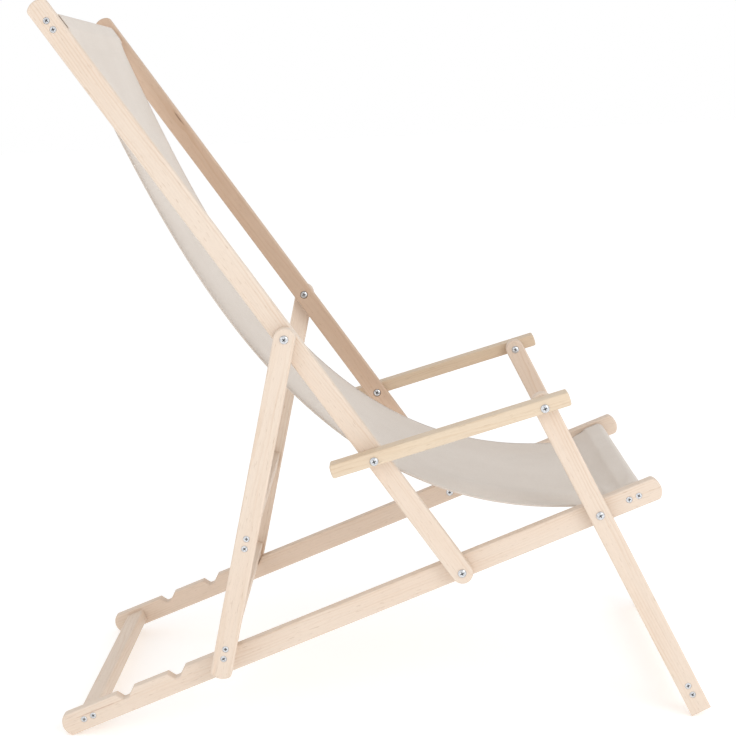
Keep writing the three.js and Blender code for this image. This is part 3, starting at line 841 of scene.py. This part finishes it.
def closed_bolt_mesh(stack):
    """Bolt and sleeve nut screwed home: a head at each end of one sleeve."""
    bm, far = [bolt_mesh([(SLEEVE, HEAD_FOOT), (SLEEVE, -stack / 2)]) for _ in range(2)]
    spare = bpy.data.meshes.new("far_head")
    far.to_mesh(spare)
    far.free()
    old = set(bm.verts)
    bm.from_mesh(spare)
    bpy.data.meshes.remove(spare)
    added = [v for v in bm.verts if v not in old]
    turn = Matrix.Translation((0, 0, -stack)) @ Matrix.Rotation(math.pi, 4, "X")
    bmesh.ops.transform(bm, matrix=turn, verts=added)
    joint = [f for f in bm.faces if all(abs(v.co.z + stack / 2) < 1e-6 for v in f.verts)]
    bmesh.ops.delete(bm, geom=joint, context="FACES_ONLY")
    bmesh.ops.remove_doubles(bm, verts=bm.verts, dist=1e-5)
    bmesh.ops.recalc_face_normals(bm, faces=bm.faces)
    return bm


def tool_turn(name):
    """How far the recess of one head is turned, the same in every run."""
    return sum(ord(c) * (i + 3) for i, c in enumerate(name)) % 90 / 90 * math.pi / 2


def add_metal(node, bm, y, outward, body):
    """One turned piece across the chair, its head's foot at y, facing outward."""
    matrix = head_frame(middle(node), y, outward, tool_turn(node))
    finish_piece(f"{node}_zinc", bm, matrix, [ZINC, RECESS_PAINTED_SHADE], body, [node], sharp=30)


def add_screw_pair(pair, side, face, body):
    for label in ("lower", "upper"):
        outward = SIDES[side]
        add_metal(f"{pair}_{label}_{side}", screw_mesh(), outward * (face - SCREW_SUNK), outward, body)


SEAT_FACE = SEAT_LAYER + STICK_THICKNESS
BACK_FACE = BACK_LAYER + STICK_THICKNESS
OUTER_FACE = OUTER_LAYER + STICK_THICKNESS
ARM_FACE = OUTER_LAYER + ARMREST_WIDTH

SCREW_PAIRS = [
    ("seat_front_screw", SEAT_FACE, "seat_frame"),
    ("seat_rear_screw", SEAT_FACE, "seat_frame"),
    ("back_top_screw", BACK_FACE, "back_frame"),
    ("front_leg_screw", BACK_FACE, "leg_frame"),
    ("prop_upper_screw", OUTER_FACE, "prop_frame"),
    ("prop_lower_screw", OUTER_FACE, "prop_frame"),
]

BOLT_SHANK = 0.003
SLEEVE = 0.0044
SLEEVE_SHORTFALL = 0.008
BOLT_ENGAGEMENT = 0.010
SLEEVE_FLOOR = 0.001


def add_bolt(node, side, face, outward, shank, body):
    rings = [(BOLT_SHANK, HEAD_FOOT), (BOLT_SHANK, -shank)]
    add_metal(node, bolt_mesh(rings), SIDES[side] * face, outward, body)


def add_sleeve_nut(node, side, face, sleeve, body):
    bore = BOLT_SHANK + FIT_GAP
    rings = [(SLEEVE, HEAD_FOOT), (SLEEVE, -sleeve), (bore, -sleeve), (bore, -SLEEVE_FLOOR)]
    add_metal(node, bolt_mesh(rings), SIDES[side] * face, -SIDES[side], body)


def add_closed_bolt(node, side, face, stack, body):
    add_metal(node, closed_bolt_mesh(stack), SIDES[side] * face, SIDES[side], body)


for side, outward in SIDES.items():
    for pair, face, body in SCREW_PAIRS:
        add_screw_pair(pair, side, face, body)
    for name, body, inner_face, outer_face in (
            ("back_pivot", "seat_frame", SEAT_LAYER, BACK_FACE),
            ("front_leg_pivot", "seat_frame", SEAT_LAYER, BACK_FACE),
            ("prop_pivot", "back_frame", BACK_LAYER + HEAD_POCKET, OUTER_FACE)):
        sleeve = outer_face - inner_face - SLEEVE_SHORTFALL
        add_bolt(f"{name}_bolt_{side}", side, outer_face, outward, SLEEVE_SHORTFALL + BOLT_ENGAGEMENT, body)
        add_sleeve_nut(f"{name}_sleeve_nut_{side}", side, inner_face, sleeve, body)
    add_bolt(f"armrest_front_bolt_{side}", side, ARM_FACE, outward, ARMREST_WIDTH - FIT_GAP,
             f"armrest_{side}_body")
    add_sleeve_nut(f"armrest_front_sleeve_nut_{side}", side, BACK_LAYER, STICK_THICKNESS - FIT_GAP,
                   "leg_frame")
    add_closed_bolt(f"armrest_rear_bolt_{side}", side, ARM_FACE, ARM_FACE - BACK_LAYER - HEAD_POCKET,
                    "back_frame")


# The sling

def loop_round(bar, angle, seam_points):
    """The cloth's way round a bar, clockwise in the side view from the first seam point to the second."""
    radius = BAR_ROUNDING + LOOP_ROUNDING + LOOP_CLEARANCE + CLOTH_THICKNESS / 2
    across = heading(angle)
    up = heading(angle + math.pi / 2)
    around = []
    for sx, sy in ((1, 1), (-1, 1), (-1, -1), (1, -1)):
        inset_across = sx * (BAR_WIDTH / 2 - BAR_ROUNDING - LOOP_ROUNDING)
        inset_up = sy * (BAR_THICKNESS / 2 - BAR_ROUNDING - LOOP_ROUNDING)
        corner = bar + across * inset_across + up * inset_up
        start = angle + math.atan2(sy, sx) - math.pi / 4
        around += [corner + heading(start + i / 8 * math.pi / 2) * radius for i in range(9)]
    flat = [Vector((p.x, p.z)) for p in around + seam_points]
    hull = geometry.convex_hull_2d(flat)
    ordered = [around[i] if i < len(around) else seam_points[i - len(around)] for i in hull]
    area = sum(a.x * b.z - b.x * a.z for a, b in zip(ordered, ordered[1:] + ordered[:1]))
    if area > 0:
        ordered.reverse()
    start = ordered.index(seam_points[0])
    ordered = ordered[start:] + ordered[:start]
    return ordered


def evenly(points, spacing):
    """The same path with points no further apart than spacing."""
    out = [points[0]]
    for a, b in zip(points, points[1:]):
        steps = max(1, math.ceil((b - a).length / spacing))
        out += [a.lerp(b, i / steps) for i in range(1, steps + 1)]
    return out


def sling_path():
    """The cloth from its free end under the top hem to its free end under the front hem."""
    top_bar = in_side_view(middle("back_top_bar"))
    front_bar = in_side_view(middle("seat_front_bar"))
    top_seam = (top_bar - heading(BACK_ANGLE) * TOP_SEAM_DROP
                + heading(BACK_ANGLE - math.pi / 2) * TOP_SEAM_FORWARD)
    front_seam = (front_bar - heading(SEAT_ANGLE) * FRONT_SEAM_BACK
                  + heading(SEAT_ANGLE - math.pi / 2) * FRONT_SEAM_DROP)
    hang = geometry.interpolate_bezier(top_seam, top_seam + heading(BACK_HANG_ANGLE) * BACK_HANG,
                                       front_seam + heading(SEAT_HANG_ANGLE) * SEAT_HANG, front_seam, 140)
    hang = [Vector(p) for p in hang]
    leaving = (hang[1] - hang[0]).normalized()
    arriving = (hang[-1] - hang[-2]).normalized()
    ply = CLOTH_THICKNESS + UNDER_GAP
    top_under = top_seam + Vector((leaving.z, 0, -leaving.x)) * ply
    front_under = front_seam + Vector((arriving.z, 0, -arriving.x)) * ply
    top_loop = loop_round(top_bar, BACK_ANGLE, [top_under, top_seam])
    front_loop = loop_round(front_bar, SEAT_ANGLE, [front_seam, front_under])
    top = [top_under + leaving * HEM_TAIL] + top_loop
    front = front_loop + [front_under - arriving * HEM_TAIL]
    top, front = evenly(top, PATH_SPACING), evenly(front, PATH_SPACING)
    path = top + hang[1:-1] + front
    top_index = len(top) - 1
    front_index = len(top) + len(hang) - 2
    soften(path, top_index, 3)
    soften(path, front_index, 4)
    return path, top_index, front_index


def soften(path, seam, reach):
    """Rounds the corner that the cloth makes at a seam."""
    for _ in range(4):
        for i in range(seam - reach, seam + reach + 1):
            path[i] = path[i].lerp((path[i - 1] + path[i + 1]) / 2, 0.7)


def smooth_bump(value):
    """1 at the middle, easing to 0 one unit away."""
    value = min(1.0, abs(value))
    return 1 - value * value * (3 - 2 * value)


def crease(s, y, start, end, width):
    """How deep in a crease a point of the cloth is; the crease runs from start to end, as (s, y)."""
    a, b, p = Vector(start), Vector(end), Vector((s, y))
    run = b - a
    t = max(0.0, min(1.0, (p - a).dot(run) / run.length_squared))
    return smooth_bump((p - a.lerp(b, t)).length / width) * (0.35 + 0.65 * math.sin(math.pi * t))


def mark_weave(bm, station, shift=0):
    """Lays the weave along the cloth, shifted where it is another layer."""
    uv = bm.loops.layers.uv.new("cloth")
    for face in bm.faces:
        for loop in face.loops:
            loop[uv].uv = (loop.vert[station] + shift, loop.vert.co.y)


def sling_mesh():
    path, top_index, front_index = sling_path()
    lengths = [0.0]
    for a, b in zip(path, path[1:]):
        lengths.append(lengths[-1] + (b - a).length)
    bm = bmesh.new()
    station = bm.verts.layers.float.new("station")
    half = CLOTH_WIDTH / 2
    chain = [bm.verts.new((p.x, -half, p.z)) for p in path]
    for v, s in zip(chain, lengths):
        v[station] = s
    for a, b in zip(chain, chain[1:]):
        bm.edges.new((a, b))
    bmesh.ops.spin(bm, geom=list(bm.verts) + list(bm.edges), cent=(0, 0, 0), axis=(0, 1, 0),
                   dvec=(0, CLOTH_WIDTH / CLOTH_COLUMNS, 0), angle=0, steps=CLOTH_COLUMNS,
                   use_duplicate=False)
    bmesh.ops.remove_doubles(bm, verts=bm.verts, dist=1e-6)
    top_s = lengths[top_index]
    front_s = lengths[front_index]
    normals = path_normals(path, lengths)
    for v in bm.verts:
        s, y = v[station], v.co.y
        v.co += normals(s) * cloth_relief(s, y, top_s, front_s)
    mark_weave(bm, station)
    return bm, path, lengths, top_s, front_s


def path_normals(path, lengths):
    """Gives the cloth's upper side direction at a length along it."""
    tangents = []
    for i in range(len(path)):
        tangents.append((path[min(i + 1, len(path) - 1)] - path[max(i - 1, 0)]).normalized())

    def normal_at(s):
        index = min(bisect.bisect_left(lengths, s - 1e-7), len(lengths) - 1)
        return Vector((-tangents[index].z, 0, tangents[index].x))
    return normal_at


def cloth_relief(s, y, top_s, front_s):
    """How far the cloth stands off its smooth hang: slack middle, soft diagonal folds, wavy edges."""
    past_seam = s - front_s
    if past_seam > 0:
        return gathered_hem(past_seam, y)
    if s <= top_s:
        return 0.0
    t = (s - top_s) / (front_s - top_s)
    free = math.sin(math.pi * t)
    across = y / (CLOTH_WIDTH / 2)
    relief = -0.004 * free * (1 - across * across)
    relief += 0.0012 * free * math.sin(9 * across + 5 * t) * across * across
    near_fold = crease(s, y, (front_s - 0.30, -0.120), (front_s - 0.005, -0.165), 0.040)
    relief += 0.0045 * near_fold * smooth_bump((t - 0.86) / 0.30)
    relief -= 0.0040 * crease(s, y, (front_s - 0.26, -0.185), (front_s - 0.02, -0.195), 0.030)
    relief -= 0.0025 * crease(s, y, (front_s - 0.16, 0.120), (front_s - 0.01, 0.175), 0.040)
    relief += 0.0020 * crease(s, y, (top_s + 0.02, 0.150), (top_s + 0.22, 0.060), 0.050)
    return relief + gathered_hem(past_seam, y)


def gathered_hem(past_seam, y):
    """The tunnel round the front bar, rucked up where it meets the right seat rail."""
    relief = 0.0030 * smooth_bump((past_seam - 0.004) / 0.022)
    relief += 0.0062 * crease(past_seam, y, (-0.006, -0.160), (0.006, -0.222), 0.024)
    relief += 0.0030 * crease(past_seam, y, (-0.010, 0.190), (0.006, 0.226), 0.030)
    relief += 0.0022 * crease(past_seam, y, (0.036, -0.216), (0.050, -0.160), 0.016)
    relief += 0.0016 * crease(past_seam, y, (0.004, 0.060), (0.020, 0.010), 0.050)
    return relief


def place_on_cloth(path, lengths, top_s, front_s, normals, s, y, lift):
    """A point on the cloth, lifted off its middle surface towards the sitter."""
    i = max(1, min(bisect.bisect_left(lengths, s), len(lengths) - 1))
    part = (s - lengths[i - 1]) / (lengths[i] - lengths[i - 1])
    point = path[i - 1].lerp(path[i], part)
    return point + Vector((0, y, 0)) + normals(s) * (lift + cloth_relief(s, y, top_s, front_s))


CANVAS = canvas_cloth("natural_canvas", srgb(228, 219, 210), srgb(211, 200, 189), 0.0009)
THREAD = sewing_thread("hem_thread", srgb(226, 217, 208), srgb(200, 190, 180))


def add_sling():
    bm, path, lengths, top_s, front_s = sling_mesh()
    sling = smooth_cloth("sling_canvas", bm, CANVAS)
    body = sling.modifiers.new("cloth_thickness", "SOLIDIFY")
    body.thickness = CLOTH_THICKNESS
    body.offset = 0
    body.use_rim = True
    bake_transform(sling)
    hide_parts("sling")
    on_cloth = functools.partial(place_on_cloth, path, lengths, top_s, front_s, path_normals(path, lengths))
    sewn = [add_side_hem(side, on_cloth, top_s, front_s) for side in SIDES]
    sewn.append(add_stitches(on_cloth, top_s, front_s))


def smooth_cloth(name, bm, material):
    bmesh.ops.recalc_face_normals(bm, faces=bm.faces)
    piece = mesh_object(name, bm, [material])
    piece.data.shade_smooth()
    return piece


def sewn_piece(name, bm, material):
    piece = smooth_cloth(name, bm, material)
    return piece


def add_side_hem(side, on_cloth, top_s, front_s):
    """The cloth's edge, turned under and sewn down along one side."""
    bm = bmesh.new()
    station = bm.verts.layers.float.new("station")
    ply = CLOTH_THICKNESS + PLY_GAP
    edge = SIDES[side] * CLOTH_WIDTH / 2
    rows = []
    length = front_s - top_s - 2 * SIDE_HEM_START
    for i in range(SIDE_HEM_STEPS + 1):
        s = top_s + SIDE_HEM_START + length * i / SIDE_HEM_STEPS
        row = []
        for inset, drop in ((0.0006, 0.45), (0.0016, 1.0), (SIDE_HEM, 1.0)):
            v = bm.verts.new(on_cloth(s, edge - SIDES[side] * inset, -ply * drop))
            v[station] = s
            row.append(v)
        rows.append([bm.edges.new(pair) for pair in zip(row, row[1:])])
    for here, after in zip(rows, rows[1:]):
        bmesh.ops.bridge_loops(bm, edges=here + after)
    mark_weave(bm, station, HEM_WEAVE_SHIFT)
    piece = sewn_piece(f"sling_side_hem_{side}", bm, CANVAS)
    body = piece.modifiers.new("cloth_thickness", "SOLIDIFY")
    body.thickness = CLOTH_THICKNESS * 0.8
    body.offset = 0
    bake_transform(piece)
    return piece


def stitch_run(places, on_cloth, first, last, lift):
    """Adds a row of stitches' places, from one (s, y) to another; lift says which side of the cloth."""
    a, b = Vector(first), Vector(last)
    row = (b - a).normalized()
    count = int((b - a).length / STITCH_PITCH)
    for i in range(count):
        here, there = a.lerp(b, (i + 0.14) / count), a.lerp(b, (i + 0.86) / count)
        p, q = on_cloth(here.x, here.y, lift), on_cloth(there.x, there.y, lift)
        aside = on_cloth(here.x + row.y * 0.001, here.y - row.x * 0.001, lift)
        along = (q - p).normalized()
        out = along.cross(aside - p).normalized()
        axes = (along * (q - p).length / 2, out.cross(along) * THREAD_WIDTH, out * THREAD_HEIGHT)
        matrix = Matrix(axes).transposed().to_4x4()
        matrix.translation = (p + q) / 2
        places.append(matrix)


def sew(places):
    """The stitches as one mesh, made a few at a time because a long list slows each new one."""
    whole = bmesh.new()
    batch = 32
    for first in range(0, len(places), batch):
        few = bmesh.new()
        for matrix in places[first:first + batch]:
            bmesh.ops.create_uvsphere(few, u_segments=5, v_segments=4, radius=1, matrix=matrix)
        mesh = bpy.data.meshes.new("few_stitches")
        few.to_mesh(mesh)
        few.free()
        whole.from_mesh(mesh)
        bpy.data.meshes.remove(mesh)
    return whole


def add_stitches(on_cloth, top_s, front_s):
    """Two rows through each tunnel hem and one down each side, seen on both faces of the cloth."""
    places = []
    face = CLOTH_THICKNESS / 2
    two_plies = face + CLOTH_THICKNESS + PLY_GAP
    half = CLOTH_WIDTH / 2 - ROW_END
    for s in [top_s + row for row in HEM_ROWS] + [front_s - row for row in HEM_ROWS]:
        stitch_run(places, on_cloth, (s, -half), (s, half), face)
        stitch_run(places, on_cloth, (s, -half), (s, half), -two_plies - 0.0001)
    for side in SIDES.values():
        y = side * (CLOTH_WIDTH / 2 - SIDE_HEM + 0.0025)
        ends = (top_s + SIDE_STITCH_START, y), (front_s - SIDE_STITCH_START, y)
        stitch_run(places, on_cloth, *ends, face)
        stitch_run(places, on_cloth, *ends, -two_plies)
    piece = sewn_piece("sling_stitching", sew(places), THREAD)
    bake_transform(piece)
    return piece


add_sling()


# Floor, light and camera

FLOOR_SIZE = 40
FLOOR_GLOW = 0.24
OVERHEAD = 0.74
CAMERA_PLACE = (0.0488, -2.515, 0.9154)
CAMERA_YAW = math.radians(-1.2175)
CAMERA_PITCH = math.radians(9.421)
CAMERA_ROLL = math.radians(-2.697)
CAMERA_LENS = 78.26


def add_floor():
    bm = bmesh.new()
    bmesh.ops.create_grid(bm, x_segments=1, y_segments=1, size=FLOOR_SIZE)
    material, tree, shader = new_material("studio_paper")
    place = add_node(tree, "ShaderNodeTexCoord").outputs["Object"]
    speckle = spread(tree, noise_at(tree, place, (1, 1, 1), 300.0, 2.0), 0.3, 0.7)
    paper = mixed(tree, speckle, (0.98, 0.98, 0.98, 1), (0.96, 0.96, 0.96, 1))
    tree.links.new(paper, shader.inputs["Base Color"])
    shader.inputs["Roughness"].default_value = 0.9
    shader.inputs["Emission Color"].default_value = (1, 1, 1, 1)
    shader.inputs["Emission Strength"].default_value = FLOOR_GLOW
    floor = mesh_object("studio_floor", bm, [material])


def add_light(name, place, aim, size, power):
    light = bpy.data.lights.new(name, "AREA")
    light.shape = "SQUARE"
    light.size = size
    light.energy = power
    lamp = bpy.data.objects.new(name, light)
    lamp.location = place
    lamp.rotation_mode = "QUATERNION"
    lamp.rotation_quaternion = (Vector(aim) - Vector(place)).to_track_quat("-Z", "Y")
    bpy.context.scene.collection.objects.link(lamp)


def add_camera():
    """Stands off the chair's right side, a little above the armrests, looking slightly down."""
    level = Vector((math.cos(CAMERA_YAW), -math.sin(CAMERA_YAW), 0))
    forward = Vector((math.sin(CAMERA_YAW), math.cos(CAMERA_YAW), 0))
    ahead = forward * math.cos(CAMERA_PITCH) - Vector((0, 0, math.sin(CAMERA_PITCH)))
    above = level.cross(ahead)
    right = math.cos(CAMERA_ROLL) * level + math.sin(CAMERA_ROLL) * above
    up = -math.sin(CAMERA_ROLL) * level + math.cos(CAMERA_ROLL) * above
    data = bpy.data.cameras.new("chair_camera")
    data.sensor_width = 36
    data.lens = CAMERA_LENS
    data.clip_end = 50
    camera = bpy.data.objects.new("chair_camera", data)
    camera.rotation_mode = "QUATERNION"
    camera.rotation_quaternion = Matrix((right, up, -ahead)).transposed().to_quaternion()
    camera.location = CAMERA_PLACE
    bpy.context.scene.collection.objects.link(camera)
    bpy.context.scene.camera = camera


def add_studio_walls():
    """White all round at eye level, a little dimmer overhead."""
    world = bpy.data.worlds.new("studio_white")
    world.use_nodes = True
    tree = world.node_tree
    way = add_node(tree, "ShaderNodeTexCoord").outputs["Generated"]
    height = add_node(tree, "ShaderNodeSeparateXYZ", {0: way}).outputs[2]
    overhead = spread(tree, height, 0.25, 0.85)
    tone = mixed(tree, overhead, (1.0, 1.0, 1.0, 1), (OVERHEAD,) * 3 + (1,))
    tree.links.new(tone, tree.nodes["Background"].inputs["Color"])
    tree.nodes["Background"].inputs["Strength"].default_value = 1.0
    bpy.context.scene.world = world
    bpy.context.scene.view_settings.view_transform = "Standard"


add_studio_walls()
add_floor()
add_light("key", (1.9, -2.6, 1.9), (0, 0, 0.5), 1.8, 26)
add_light("fill", (-2.2, -2.6, 1.8), (0, 0, 0.7), 2.0, 5)
add_camera()
